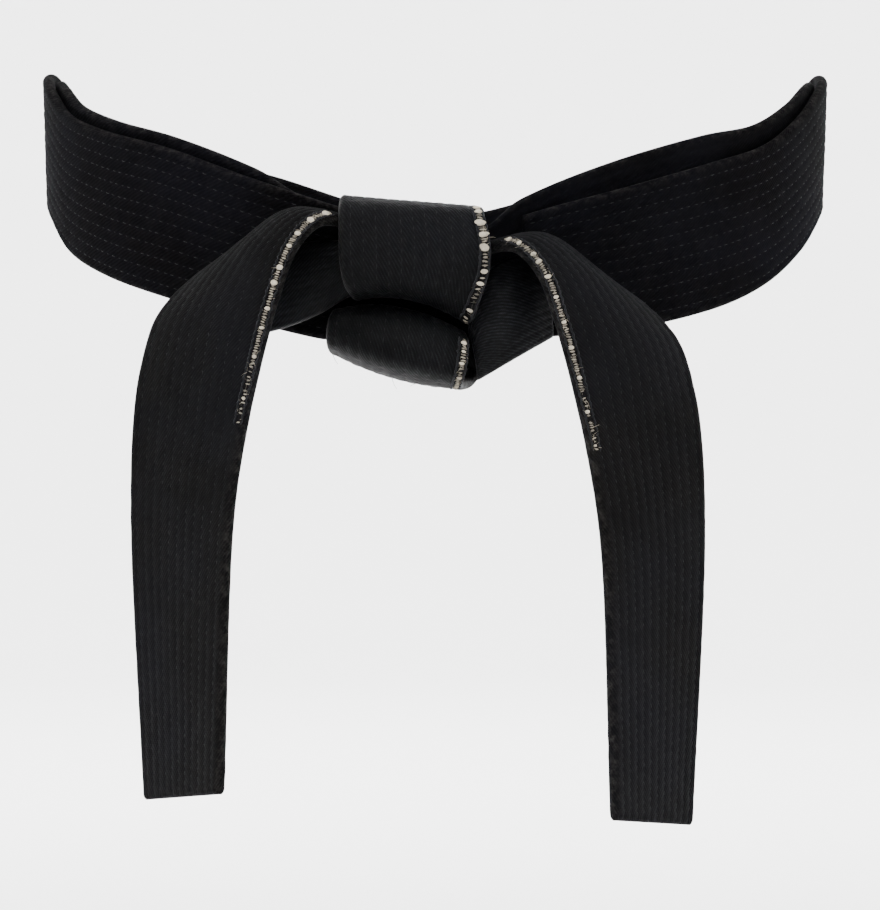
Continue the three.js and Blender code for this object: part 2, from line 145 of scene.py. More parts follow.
class Strand:
    def __init__(self, rows, facing=1):
        self.facing = facing
        self.first = np.array([[x, -DEPTH / 2 - out * LAYER, z] for (x, out, z), _, _ in rows], float)
        self.second = self.first + np.array([a for _, a, _ in rows], float) * WIDTH
        self.crown = np.array([c for _, _, c in rows], float)

    def point(self, t, u):
        a, b, c = (catmull(p, t) for p in (self.first, self.second, self.crown))
        u = np.asarray(u)[..., None]
        return a + (b - a) * u + c * (4 * u * (1 - u))


class Waist:
    facing = 1

    def __init__(self, start, end, inset, rise, run=RUN):
        self.start, self.end, self.inset, self.rise, self.run = start, end, inset, rise, run

    def edge(self, degrees, top):
        run, last = self.run, len(self.run) - 1
        i = np.clip(np.searchsorted(run[:, 0], degrees, side="right"), 1, last) - 1
        slope = lambda k: ((run[np.minimum(k + 1, last)] - run[np.maximum(k - 1, 0)])
                           / (run[np.minimum(k + 1, last), :1] - run[np.maximum(k - 1, 0), :1]))
        span = run[i + 1, :1] - run[i, :1]
        s = (degrees[..., None] - run[i, :1]) / span
        rise, m1, m2 = run[i + 1] - run[i], slope(i) * span, slope(i + 1) * span
        row = run[i] + s * (m1 + s * (3 * rise - 2 * m1 - m2 + s * (m1 + m2 - 2 * rise)))
        a = np.radians(degrees)
        out = -self.inset + (FLARE if top else -FLARE)
        z = row[..., 1] + self.rise * row[..., 3] + (WIDTH * row[..., 2] if top else 0)
        return np.stack([-(BREADTH / 2 + out) * np.sin(a), -(DEPTH / 2 + out) * np.cos(a), z], -1)

    def point(self, t, u):
        degrees = self.start + (self.end - self.start) * np.asarray(t)
        top, low = self.edge(degrees, True), self.edge(degrees, False)
        return top + (low - top) * np.asarray(u)[..., None]


def tail_rows(side):
    foot = DRAPE[-1][0][2]
    rows = DRAPE + [[[x, out, foot - share * TAIL_DROP], across, [0, 0, 0]]
                    for share, x, out, across in FALL]
    if side == "right":
        return rows
    return [[[2 * MIRROR_X - x, out, z + LEFT_LIFT], [-a, b, c], [-d, e, f]]
            for (x, out, z), (a, b, c), (d, e, f) in rows]


def frames(band, t, u):
    """Place, way across and outward normal at t, u arrays of one shape."""
    e = 1e-3
    t_in = np.clip(t, e, 1 - e)
    along = band.point(t_in + e, u) - band.point(t_in - e, u)
    across = band.point(t, u + e) - band.point(t, u - e)
    across /= np.linalg.norm(across, axis=-1, keepdims=True)
    out = np.cross(along, across) * band.facing
    out /= np.linalg.norm(out, axis=-1, keepdims=True)
    return band.point(t, u), across, out


def length_table(band, t0, t1, count=1200):
    t = np.linspace(t0, t1, count)
    p = band.point(t, np.full(count, 0.5))
    s = np.concatenate([[0], np.cumsum(np.linalg.norm(np.diff(p, axis=0), axis=1))])
    return t, s


def width_at(band, t):
    """The band's width from edge to edge at each t."""
    t = np.asarray(t, float)
    return np.linalg.norm(band.point(t, np.zeros_like(t)) - band.point(t, np.ones_like(t)), axis=-1)


def waves(seed, count, low, high):
    """A smooth, seeded noise of two millimetre coordinates, about -1 to 1."""
    rng = np.random.default_rng(seed)
    angle, phase = rng.uniform(0, 2 * np.pi, (2, count))
    k = 2 * np.pi / rng.uniform(low, high, count)
    weight = math.sqrt(2 / count)
    return lambda x, y: weight * sum(
        np.sin(k[i] * (x * np.cos(angle[i]) + y * np.sin(angle[i])) + phase[i]) for i in range(count))


# ------------------------------------------------------------------ the quilted strip

QUILT_ROWS = 12          # channels between thread rows across the width
ROWS = range(1, QUILT_ROWS)
ROW_SHIFT = 0.37         # of a stitch, from one row to the next
GROOVE = 0.34            # how deep a thread row is pulled in
PUCKER = 0.2             # how deep the cover puckers between the rows
STITCH = 3.2             # stitch pitch along a row
EDGE_WEAR = 3.2          # how far rubbed edges reach in from the edge
DEEPEST = 0.6            # of half the thickness, the most that the relief may take
FACE_POINTS, EDGE_POINTS = 72, 9


def new_object(name, verts, faces, uv=None, attributes=None, material=None):
    mesh = bpy.data.meshes.new(name)
    mesh.from_pydata((np.asarray(verts) * MM).tolist(), [], faces)
    if uv is not None:
        layer = mesh.uv_layers.new(name="Cloth")
        layer.data.foreach_set("uv", np.asarray(uv, np.float32).ravel())
    for key, values in (attributes or {}).items():
        layer = mesh.attributes.new(key, "FLOAT", "POINT")
        layer.data.foreach_set("value", np.asarray(values, np.float32))
    mesh.polygons.foreach_set("use_smooth", [True] * len(mesh.polygons))
    mesh.update()
    obj = bpy.data.objects.new(name, mesh)
    bpy.context.scene.collection.objects.link(obj)
    if material:
        mesh.materials.append(material)
    return obj


def section(width, columns):
    """Ring of (x from the first edge, height share, face flag) for a stadium-shaped belt section."""
    r = np.minimum(HALF, width / 2 - 0.2)
    face = np.linspace(0, 1, columns) * (width - 2 * r)
    arc = np.pi * np.arange(1, EDGE_POINTS + 1) / (EDGE_POINTS + 1)
    level, rounded = np.ones(columns), np.zeros(EDGE_POINTS)
    x = [r + face, width - r + r * np.sin(arc), width - r - face, r - r * np.sin(arc)]
    height = [level, np.cos(arc), -level, -np.cos(arc)]
    return np.concatenate(x), np.concatenate(height), np.concatenate([level, rounded, level, rounded])


class Relief:
    """How far the cover is pulled in below its full thickness, in mm. It is never proud of it."""

    def __init__(self, seed, groove=0.0, pucker=0.0):
        self.soft, self.fine = waves(seed, 7, 16, 60), waves(seed + 50, 6, 4, 11)
        self.groove, self.pucker = groove, pucker

    def __call__(self, x, v, side, flat, height, width):
        across = x / width * QUILT_ROWS
        nearest = np.round(across)
        gap = np.abs(across - nearest) * WIDTH / QUILT_ROWS
        inside = (nearest > 0.5) & (nearest < QUILT_ROWS - 0.5)
        stitch = 0.72 + 0.28 * np.cos(2 * np.pi * (v / STITCH + nearest * ROW_SHIFT))
        line = np.where(inside, np.exp(-(gap / 0.75) ** 2), 0) * flat
        rough = np.clip(0.6 * self.soft(x * side, v) + 0.4 * self.fine(x * side, v), -1, 1)
        dent = self.groove * line * stitch + self.pucker * (0.5 + 0.5 * rough) * flat
        dent += 0.10 * (0.5 + 0.5 * self.fine(x + 40, v * 1.3)) * (1 - flat) * np.abs(height)
        # the second value marks the thread rows, where the cotton material paints shade into the colour
        return dent, line * stitch


def strip(name, band, t0, t1, step, relief, material, round_start=True, round_end=True,
          half=HALF, inset=0.0, columns=FACE_POINTS, v0=0.0):
    """A closed strip along the band, from t0 to t1, with rounded ends, or flat ones at a seam."""
    ts, ss = length_table(band, t0, t1)
    total = ss[-1]
    count = max(2, round(total / step))
    turns = [math.radians(a) for a in (0, 22, 42, 60, 76, 90)]
    low = half if round_start else -1e-9
    high = total - half if round_end else total + 1e-9
    # rings of (distance along the strip, share of the full thickness)
    rings = [(half * (1 - math.sin(a)), math.cos(a)) for a in reversed(turns)] if round_start else []
    rings += [(x, 1.0) for x in (total * i / count for i in range(count + 1)) if low < x < high]
    if round_end:
        rings += [(total - half * (1 - math.sin(a)), math.cos(a)) for a in turns]
    s, thin = np.array(rings).T
    t = np.interp(s, ss, ts)
    wide = width_at(band, t)
    n = 2 * (columns + EDGE_POINTS)
    U, H, row_shade_mask, edge_mark = (np.zeros((len(t), n)) for _ in range(4))
    for i, width in enumerate(wide):
        x, h, flat = section(max(width - 2 * inset, 2.0), columns)
        x = x + inset
        side = np.where(h >= 0, 1.0, -1.0)
        dent, row_shade_mask[i] = relief(x, s[i] + v0, side, flat, h, width)
        H[i] = (h * half - side * np.abs(h) * np.minimum(dent, DEEPEST * half)) * thin[i]
        U[i] = x / width
        edge_mark[i] = np.clip(1 - np.minimum(x, width - x) / EDGE_WEAR, 0, 1)
    P, _, out = frames(band, np.repeat(t[:, None], n, 1), U)
    grid = P + out * H[..., None]
    ids = np.arange(len(t) * n).reshape(len(t), n)
    f, e = columns, EDGE_POINTS
    # a rounded end's last ring is flat, so each point above is the same as the one below it
    mirror = np.concatenate([np.arange(2 * f + e - 1, f + e - 1, -1), np.arange(f + e - 1, f - 1, -1),
                             np.arange(f - 1, -1, -1), np.arange(2 * f + 2 * e - 1, 2 * f + e - 1, -1)])
    for closed, k in ((round_start, 0), (round_end, -1)):
        if closed:
            ids[k] = np.minimum(ids[k], ids[k][mirror])
    loop = grid[len(t) // 2]
    girth = np.concatenate([[0], np.cumsum(np.linalg.norm(np.roll(loop, -1, 0) - loop, axis=1))])
    faces, uv = [], []
    for i in range(len(t) - 1):
        for j in range(n):
            k = (j + 1) % n
            quad = [(ids[i, j], j, i), (ids[i, k], j + 1, i),
                    (ids[i + 1, k], j + 1, i + 1), (ids[i + 1, j], j, i + 1)]
            if band.facing < 0:
                quad.reverse()
            corners = [q for m, q in enumerate(quad) if q[0] not in [x[0] for x in quad[:m]]]
            if len(corners) < 3:
                continue
            faces.append([int(q[0]) for q in corners])
            uv += [(girth[q[1]], s[q[2]] + v0) for q in corners]
    for closed, k, turn in ((round_start, 0, 1), (round_end, -1, -1)):
        if not closed:  # a flat cap at a seam, with sharp edges so that it doesn't shade the skin
            face = ids[k][::turn * int(band.facing)]
            faces.append([int(q) for q in face])
            uv += [(0, 0)] * n
    used = np.unique(ids)
    remap = np.full(ids.size, -1)
    remap[used] = np.arange(len(used))
    faces = [[int(remap[q]) for q in face] for face in faces]
    obj = new_object(name, grid.reshape(-1, 3)[used], faces, uv,
                     {"row": row_shade_mask.ravel()[used], "edge": edge_mark.ravel()[used]}, material)
    sharp = np.zeros(len(obj.data.edges), bool)
    for face in obj.data.polygons:
        if len(face.vertices) > 4:
            face.use_smooth = False
            for loop_index in face.loop_indices:
                sharp[obj.data.loops[loop_index].edge_index] = True
    if sharp.any():
        layer = obj.data.attributes.new("sharp_edge", "BOOLEAN", "EDGE")
        layer.data.foreach_set("value", sharp)
    return obj, total


# ------------------------------------------------------------------ small geometry: threads, beads, fibres

def tubes(name, paths, radii, material, sides=5, tone=None):
    """One mesh of many closed tapering tubes. paths: list of (n, 3); radii: list of (n,)."""
    verts, faces, tones = [], [], []
    for number, (path, radius) in enumerate(zip(paths, radii)):
        base, n = len(verts), len(path)
        tangent = np.gradient(path, axis=0)
        tangent /= np.linalg.norm(tangent, axis=1, keepdims=True) + 1e-12
        guide = np.array([0.31, 0.22, 0.93]) if abs(tangent[0][2]) < 0.8 else np.array([0.9, 0.4, 0.1])
        a = np.cross(tangent, guide)
        a /= np.linalg.norm(a, axis=1, keepdims=True)
        b = np.cross(tangent, a)
        for i in range(n):
            for k in range(sides):
                w = 2 * math.pi * k / sides
                verts.append(path[i] + radius[i] * (a[i] * math.cos(w) + b[i] * math.sin(w)))
        for i in range(n - 1):
            for k in range(sides):
                m = (k + 1) % sides
                row, above = base + i * sides, base + (i + 1) * sides
                faces.append([row + k, row + m, above + m, above + k])
        faces.append([base + k for k in reversed(range(sides))])
        faces.append([base + (n - 1) * sides + k for k in range(sides)])
        tones += [0.5 if tone is None else tone[number]] * (n * sides)
    return new_object(name, verts, faces, None, {"tone": tones}, material)


def stitches(name, band, t0, t1, relief, material, v0=0.0):
    """Thread stitches lying in the quilting rows of the outer face."""
    end_room, half_stitch, thread_radius, narrowest = 2.5, 1.15, 0.17, 30
    ts, ss = length_table(band, t0, t1)
    along = np.array([-1.0, -0.72, 0, 0.72, 1.0]) * half_stitch
    girth = np.array([0.25, 0.85, 1, 0.85, 0.25])
    sink = np.array([0.30, 0.10, 0.05, 0.10, 0.30])
    T, U, S = [], [], []
    for row in ROWS:
        # the cover is pulled in most where the thread dives, halfway between two stitches
        offset = STITCH * (0.5 - row * ROW_SHIFT) - v0
        first = math.ceil((end_room - offset) / STITCH)
        last = math.floor((ss[-1] - end_room - offset) / STITCH)
        for centre in np.arange(first, last + 1) * STITCH + offset:
            T.append(np.interp(centre + along, ss, ts))
            U.append(np.full(len(along), row / QUILT_ROWS))
            S.append(centre + along)
    T, U, S = np.array(T), np.array(U), np.array(S)
    P, _, out = frames(band, T, U)
    width = width_at(band, T)
    dent, _ = relief(U * width, S + v0, np.ones_like(U), np.ones_like(U), np.ones_like(U), width)
    P = P + out * (HALF - np.minimum(dent, DEEPEST * HALF) - sink)[..., None]
    good = [i for i in range(len(P)) if width[i].min() > narrowest]
    return tubes(name, [P[i] for i in good], [thread_radius * girth] * len(good), material, sides=5)


def icosphere(level):
    bm = bmesh.new()
    bmesh.ops.create_icosphere(bm, subdivisions=level, radius=1)
    v = np.array([x.co for x in bm.verts])
    f = [[x.index for x in face.verts] for face in bm.faces]
    bm.free()
    return v, f


BALL_V, BALL_F = icosphere(3)
RIB_V, RIB_F = icosphere(2)


def fray(name, band, t0, t1, first_edge, seed, size, sparse):
    """Core that shows where an edge has worn through: cream beads between two dark welts, with loose fibres.

    size gives a bead's half width for the share of the way along, and sparse how fast beads give way to ribs.
    """
    rng = np.random.default_rng(seed)
    ts, ss = length_table(band, t0, t1)
    total = ss[-1]
    inset = 2.1

    def at(s, x, h):
        t = np.interp(s, ss, ts)
        width = width_at(band, t)
        u = x / width if first_edge else 1 - x / width
        P, across, out = frames(band, t, u)
        return P + out * h[..., None], across, out
    verts, faces, tones = [], [], []
    place, ribs_left = 0.9, 1
    while place < total - 0.9:
        share = place / total
        ball = ribs_left <= 0
        half_width = size(share) * rng.uniform(0.78, 1.12)
        if ball:
            a, b, c = half_width, half_width * rng.uniform(0.5, 0.86), 0.42 + 0.26 * half_width
            ribs_left = int(rng.integers(1, 5) + sparse * share ** 0.7 * rng.uniform(0.6, 1.6))
        else:
            a, b, c = (0.45 + 0.42 * half_width) * rng.uniform(0.8, 1.15), rng.uniform(0.2, 0.36), 0.36
            ribs_left -= 1
        place += b
        V, F = (BALL_V, BALL_F) if ball else (RIB_V, RIB_F)
        offset = max(inset, a + 0.55) + rng.uniform(-0.2, 0.2)
        P, across, out = at(np.array([place]), np.array([offset]), np.array([HALF - 0.12]))
        P, across, out = P[0], across[0], out[0]
        down = np.cross(across, out)
        twist = rng.uniform(-0.3, 0.3)
        ax = across * math.cos(twist) + down * math.sin(twist)
        dn = np.cross(ax, out)
        lump = 1 + 0.07 * np.sin(V @ rng.uniform(-4, 4, 3) + rng.uniform(0, 6))
        lump += 0.03 * np.sin(V @ rng.uniform(-11, 11, 3))
        body = V * lump[:, None]
        base = len(verts)
        verts += list(P + body[:, :1] * a * ax + body[:, 1:2] * b * dn + body[:, 2:] * c * out)
        faces += [[base + k for k in f] for f in F]
        shade = rng.uniform(0.6, 1.0) if ball else rng.uniform(0.12, 0.5)
        tones += [shade] * len(V)
        place += b + rng.uniform(0.22, 0.6) + (0.0 if share < 0.75 else rng.uniform(0, 2.2))
    beads = new_object(name + "_beads", verts, faces, None, {"tone": tones}, BEAD)
    # welts: the cover's torn edges beside the core
    rows, radii = [], []
    count = int(total / 0.8)
    for x, radius in ((inset - 1.35, 0.34), (inset + 1.75, 0.36)):
        s = np.linspace(0.3, total - 0.3, count)
        wobble = 0.16 * np.sin(s * 1.9 + x * 7) + 0.12 * np.sin(s * 4.3 + x)
        P, _, _ = at(s, x + wobble, np.full(count, HALF - 0.12) + 0.08 * np.sin(s * 2.7 + x))
        rows.append(P)
        taper = np.minimum(1, np.minimum(s, total - s) / 3)
        radii.append(radius * (0.35 + 0.65 * taper) * (1 + 0.18 * np.sin(s * 5.1 + x)))
    welts = tubes(name + "_welts", rows, radii, PLAIN, sides=8)
    # loose fibres
    paths, thick, shades = [], [], []
    for _ in range(int(total * 1.3)):
        s0 = rng.uniform(0.5, total - 0.5)
        offset = inset + rng.uniform(-1.1, 1.1)
        P, across, out = at(np.array([s0]), np.array([offset]), np.array([HALF + 0.1]))
        P, across, out = P[0], across[0], out[0]
        down = np.cross(across, out)
        way = across * rng.normal(0, 0.8) + down * rng.normal(0, 0.8) + out * rng.uniform(0.1, 0.7)
        bend = across * rng.normal(0, 0.5) + down * rng.normal(0, 0.5) - out * rng.uniform(0.2, 0.6)
        length = rng.uniform(0.7, 2.4)
        k = np.linspace(0, 1, 6)[:, None]
        paths.append(P + (way * k + bend * k * k) * length * 0.6)
        thick.append(np.linspace(0.055, 0.02, 6))
        shades.append(rng.uniform(0.1, 0.95))
    fibres = tubes(name + "_fibres", paths, thick, BEAD, sides=3, tone=shades)
    return [beads, fibres], [welts]


# ------------------------------------------------------------------ materials

WAVE_UNIT = 0.31416      # the Wave texture's scale that gives one rib per unit of length


class Tree:
    """A material's node tree, with short calls for the nodes used here."""

    def __init__(self, name):
        self.material = bpy.data.materials.new(name)
        self.material.use_nodes = True
        self.nodes, self.links = self.material.node_tree.nodes, self.material.node_tree.links
        self.shader = self.nodes["Principled BSDF"]

    def add(self, kind, inputs=None, **props):
        node = self.nodes.new(kind)
        for k, v in props.items():
            setattr(node, k, v)
        for k, v in (inputs or {}).items():
            if isinstance(v, bpy.types.NodeSocket):
                self.links.new(v, node.inputs[k])
            else:
                node.inputs[k].default_value = v
        return node

    def math(self, op, a, b=0.0, clamp=False):
        return self.add("ShaderNodeMath", {0: a, 1: b}, operation=op, use_clamp=clamp).outputs[0]

    def mix(self, factor, a, b):
        node = self.add("ShaderNodeMix", data_type="RGBA")
        for socket, value in ((node.inputs["Factor"], factor), (node.inputs[6], a), (node.inputs[7], b)):
            if isinstance(value, bpy.types.NodeSocket):
                self.links.new(value, socket)
            else:
                socket.default_value = value
        return node.outputs[2]

    def noise(self, vector, scale, detail=3.0, rough=0.55):
        inputs = {"Vector": vector, "Scale": scale, "Detail": detail, "Roughness": rough}
        return self.add("ShaderNodeTexNoise", inputs).outputs[0]

    def turned(self, vector, rotation=(0, 0, 0), scale=(1, 1, 1)):
        inputs = {"Vector": vector, "Rotation": rotation, "Scale": scale}
        return self.add("ShaderNodeMapping", inputs).outputs[0]

    def ribs(self, vector, pitch, way, distortion, detail, detail_scale=1.0):
        """Soft parallel ribs, pitch millimetres apart."""
        inputs = {"Vector": vector, "Scale": WAVE_UNIT / pitch, "Distortion": distortion, "Detail": detail,
                  "Detail Scale": detail_scale}
        return self.add("ShaderNodeTexWave", inputs, wave_type="BANDS", bands_direction=way).outputs["Fac"]

    def spread(self, value, low, high):
        return self.add("ShaderNodeMapRange", {"Value": value, "From Min": low, "From Max": high}).outputs[0]

    def attribute(self, name):
        return self.add("ShaderNodeAttribute", attribute_name=name).outputs["Fac"]


def cotton(name, slope, dark, pale, roughness, sheen, specular):
    """Black cotton twill. The cloth's own millimetre coordinates carry the weave."""
    m = Tree(name)
    cloth = m.add("ShaderNodeUVMap", uv_map="Cloth").outputs[0]
    place = m.add("ShaderNodeTexCoord").outputs["Object"]
    # the weave: diagonal ribs, single yarns along them and the weft
    twill = m.turned(cloth, rotation=(0, 0, math.radians(slope)))
    ribs = m.ribs(twill, 1.02, "X", 1.1, 1.5, 1.4)
    yarn = m.noise(m.turned(twill, scale=(1.6, 0.42, 1)), 1.0, 2.0, 0.6)
    weft = m.ribs(cloth, 0.62, "Y", 0.8, 1.0)
    # slow changes of shade: rubbed patches, fading and a blue tint
    patches = m.spread(m.noise(place, 34, 4, 0.62), 0.35, 0.68)
    small = m.spread(m.noise(place, 260, 3, 0.6), 0.32, 0.7)
    tint = m.spread(m.noise(place, 19, 2, 0.5), 0.42, 0.62)
    weave = m.math("MULTIPLY", m.math("MULTIPLY", ribs, m.spread(yarn, 0.25, 0.75)),
                   m.math("ADD", m.math("MULTIPLY", weft, 0.3), 0.7))
    level = m.math("MULTIPLY", weave, m.math("ADD", m.math("MULTIPLY", patches, 0.55), 0.5), clamp=True)
    colour = m.mix(level, dark, pale)
    colour = m.mix(m.math("MULTIPLY", tint, 0.22), colour, (0.0055, 0.006, 0.010, 1))
    colour = m.mix(m.math("MULTIPLY", small, 0.08), colour, (0.022, 0.020, 0.018, 1))
    # wear along the edges, and painted shade in the grooves of the thread rows
    edge = m.math("POWER", m.attribute("edge"), 1.6)
    worn = m.math("MULTIPLY", edge, m.spread(m.noise(place, 420, 3, 0.7), 0.45, 0.75), clamp=True)
    colour = m.mix(m.math("MULTIPLY", worn, 0.45), colour, (0.045, 0.042, 0.039, 1))
    row = m.attribute("row")
    # painted shade: the colour darkens along the thread rows as if their grooves were in shadow
    colour = m.mix(m.math("MULTIPLY", row, 0.45, clamp=True), colour, (0.0035, 0.0035, 0.0045, 1))
    height = m.math("ADD", m.math("ADD", m.math("MULTIPLY", ribs, 0.62), m.math("MULTIPLY", weft, 0.22)),
                    m.math("MULTIPLY", yarn, 0.5))
    bump = m.add("ShaderNodeBump", {"Strength": 0.55, "Distance": 0.00022, "Height": height}).outputs[0]
    limits = {"Value": small, "To Min": roughness - 0.08, "To Max": roughness + 0.08}
    gloss = m.add("ShaderNodeMapRange", limits).outputs[0]
    m.links.new(colour, m.shader.inputs["Base Color"])
    m.links.new(bump, m.shader.inputs["Normal"])
    m.links.new(gloss, m.shader.inputs["Roughness"])
    m.shader.inputs["Specular IOR Level"].default_value = specular
    m.shader.inputs["Sheen Weight"].default_value = sheen
    m.shader.inputs["Sheen Roughness"].default_value = 0.45
    m.shader.inputs["Sheen Tint"].default_value = (0.55, 0.58, 0.66, 1)
    return m.material


def fibre(name, low, high, roughness):
    """Raw cotton: mottled between two colours, darker where the attribute tone is low."""
    m = Tree(name)
    place = m.add("ShaderNodeTexCoord").outputs["Object"]
    mottle = m.spread(m.noise(place, 900, 4, 0.65), 0.3, 0.7)
    tone = m.attribute("tone")
    level = m.math("MULTIPLY", tone, m.math("ADD", m.math("MULTIPLY", mottle, 0.45), 0.6), clamp=True)
    colour = m.mix(level, low, high)
    strands = m.noise(m.turned(place, scale=(1, 1, 4)), 1500, 2, 0.6)
    bump = m.add("ShaderNodeBump", {"Strength": 0.6, "Distance": 0.00015, "Height": strands}).outputs[0]
    m.links.new(colour, m.shader.inputs["Base Color"])
    m.links.new(bump, m.shader.inputs["Normal"])
    m.shader.inputs["Roughness"].default_value = roughness
    m.shader.inputs["Specular IOR Level"].default_value = 0.2
    m.shader.inputs["Sheen Weight"].default_value = 0.02
    return m.material


# name, slope of the twill in degrees, dark and pale colours, roughness, sheen, specular level
BELT = cotton("belt_cotton", 34, (0.0009, 0.0009, 0.0010, 1), (0.0140, 0.0137, 0.0132, 1),
              0.88, 0.008, 0.045)
WRAP = cotton("wrap_cotton", 34, (0.0005, 0.0005, 0.0007, 1), (0.0064, 0.0064, 0.0074, 1),
              0.9, 0.003, 0.02)
KNOT = cotton("knot_cotton", 30, (0.0004, 0.0005, 0.0007, 1), (0.0135, 0.0146, 0.0155, 1),
              0.6, 0.004, 0.045)
SIDE = cotton("knot_side_cotton", -38, (0.0008, 0.0009, 0.0011, 1), (0.0240, 0.0255, 0.0290, 1),
              0.6, 0.01, 0.09)
PLAIN = cotton("welt_cotton", 20, (0.005, 0.005, 0.006, 1), (0.03, 0.029, 0.030, 1), 0.85, 0.1, 0.2)
# name, dark and pale colours, roughness
CORE = fibre("batting", (0.30, 0.27, 0.22, 1), (0.74, 0.71, 0.64, 1), 0.95)
BEAD = fibre("frayed_core", (0.05, 0.045, 0.04, 1), (0.66, 0.59, 0.46, 1), 0.9)
THREAD = fibre("thread", (0.0016, 0.0016, 0.0018, 1), (0.006, 0.006, 0.0065, 1), 0.85)


# ------------------------------------------------------------------ camera, floor and light

camera = bpy.data.objects.new("camera", bpy.data.cameras.new("camera"))
bpy.context.scene.collection.objects.link(camera)
camera.location = (1.9 * MM, -1138 * MM, -55.7 * MM)
camera.rotation_euler = (math.radians(90), 0, 0)
camera.data.sensor_fit = "HORIZONTAL"
camera.data.sensor_width = 36
camera.data.lens = 36 * 2960 / 880       # 2960 pixels for a width equal to its distance, in 880
camera.data.clip_start, camera.data.clip_end = 0.05, 30
bpy.context.scene.camera = camera


def backdrop():
    """A pale round floor that curves up into a wall on all sides, so that every view has the same ground."""
    floor, flat, bend, top, turns = -0.34, 2.6, 1.6, 3.6, 64
    profile = [(0.02, floor), (0.8, floor), (flat, floor)]
    profile += [(flat + bend * math.sin(a), floor + bend * (1 - math.cos(a)))
                for a in np.linspace(0.08, math.pi / 2, 18)]
    profile.append((flat + bend, top))
    n = len(profile)
    verts = [(r * math.cos(w) / MM, r * math.sin(w) / MM, z / MM)
             for w in np.linspace(0, 2 * math.pi, turns, endpoint=False) for r, z in profile]
    faces = [[i * n + k, (i + 1) % turns * n + k, (i + 1) % turns * n + k + 1, i * n + k + 1]
             for i in range(turns) for k in range(n - 1)]
    faces.append([i * n for i in reversed(range(turns))])
    m = Tree("floor")
    grain = m.noise(m.add("ShaderNodeTexCoord").outputs["Object"], 6, 3, 0.5)
    m.links.new(m.mix(grain, (0.93, 0.93, 0.93, 1), (0.96, 0.96, 0.955, 1)), m.shader.inputs["Base Color"])
    m.shader.inputs["Roughness"].default_value = 0.95
    new_object("floor", verts, faces, None, None, m.material)


def area_light(name, place, target, size, power):
    light = bpy.data.lights.new(name, "AREA")
    light.shape, light.size, light.energy = "SQUARE", size, power
    obj = bpy.data.objects.new(name, light)
    bpy.context.scene.collection.objects.link(obj)
    obj.location = place
    obj.rotation_euler = (Vector(target) - Vector(place)).to_track_quat("-Z", "Y").to_euler()


backdrop()
area_light("key", (-0.3, -0.75, 1.2), (0, -0.05, 0), 0.7, 14)
area_light("fill", (1.2, -1.2, 0.5), (0, 0, -0.05), 1.0, 1.2)
area_light("top", (0.1, 0.4, 1.5), (0, 0, 0), 1.2, 6)
for turn, power in ((45, 260), (135, 260), (225, 38), (315, 38)):
    way = np.array([math.cos(math.radians(turn)), math.sin(math.radians(turn)), 0])
    area_light(f"wall_{turn}", tuple(way * 1.0 + [0, 0, 1.9]), tuple(way * 4 + [0, 0, 0.2]), 1.2, power)
world = bpy.data.worlds.new("studio")
world.use_nodes = True
world.node_tree.nodes["Background"].inputs[0].default_value = (0.96, 0.97, 1, 1)
world.node_tree.nodes["Background"].inputs[1].default_value = 0.4
bpy.context.scene.world = world


# ------------------------------------------------------------------ the belt

def core_strip(name, band, t0, t1, step, seed, **ends):
    """The batting inside a cover."""
    return strip(name + "_core", band, t0, t1, step, Relief(seed), CORE,
                 half=HALF - COVER_AND_ROOM, inset=COVER_AND_ROOM, columns=8, **ends)[0]


def declare_sheet(band, t0, t1):
    mean = width_at(band, np.linspace(t0, t1, 60)).mean()


def cover_and_core(name, band, step, seed, material, stitched=False):
    """One stretch that stays with the loop: its cover, its batting and, where it shows, its stitching."""
    core_trim = 1.4
    relief = Relief(seed, GROOVE, PUCKER)
    cover, total = strip(name, band, 0, 1, step, relief, material)
    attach(cover, "belt")
    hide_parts(name + "_cover")
    ts, ss = length_table(band, 0, 1)
    start, end = (float(np.interp(s, ss, ts)) for s in (core_trim, total - core_trim))
    core = core_strip(name, band, start, end, 3.0, seed)
    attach(core, "belt")
    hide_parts(name + "_core")
    if stitched:
        thread = stitches(name + "_stitching", band, 0, 1, relief, THREAD)
        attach(thread, "belt")
    declare_sheet(band, 0, 1)


# the wraps' first degrees, which dive under the knot
OUTER_RUN = np.vstack([[12.9, -15.5, 0.93, 1.2], RUN])
INNER_RUN = np.vstack([[12.9, -15.5, 0.93, 0.5], [19.4, -13.5, 0.97, 1.0], RUN[1:]])
WRAP_STEP = (348 - 16) / 44
outer_wrap = Waist(12.9, 348, HALF, 0, OUTER_RUN)
inner_wrap = Waist(19.5, 16 + 48 * WRAP_STEP, HALF + THICK + WRAP_GAP, 1, INNER_RUN)
front_wrap, lower_roll = Strand(FRONT_WRAP), Strand(LOWER_ROLL)
cover_and_core("outer_wrap", outer_wrap, 2.2, 11, WRAP, stitched=True)
cover_and_core("inner_wrap", inner_wrap, 2.6, 12, WRAP)
cover_and_core("knot_front_wrap", front_wrap, 0.9, 21, KNOT, stitched=True)
cover_and_core("knot_lower_roll", lower_roll, 0.9, 22, KNOT, stitched=True)
cover_and_core("knot_back_pass", Strand(BACK_PASS), 2.0, 23, KNOT)
cover_and_core("knot_left_band", Strand(LEFT_BAND, -1), 0.9, 24, SIDE)
cover_and_core("knot_right_band", Strand(RIGHT_BAND), 0.9, 25, SIDE)


def place_fray(made, node, move):
    """Puts a frayed edge on its body. Its beads, the first piece, stand for the CAD node."""
    loose, welts = made
    for piece in loose + welts:
        move(piece)
        if piece is loose[0]:
            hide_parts(node)


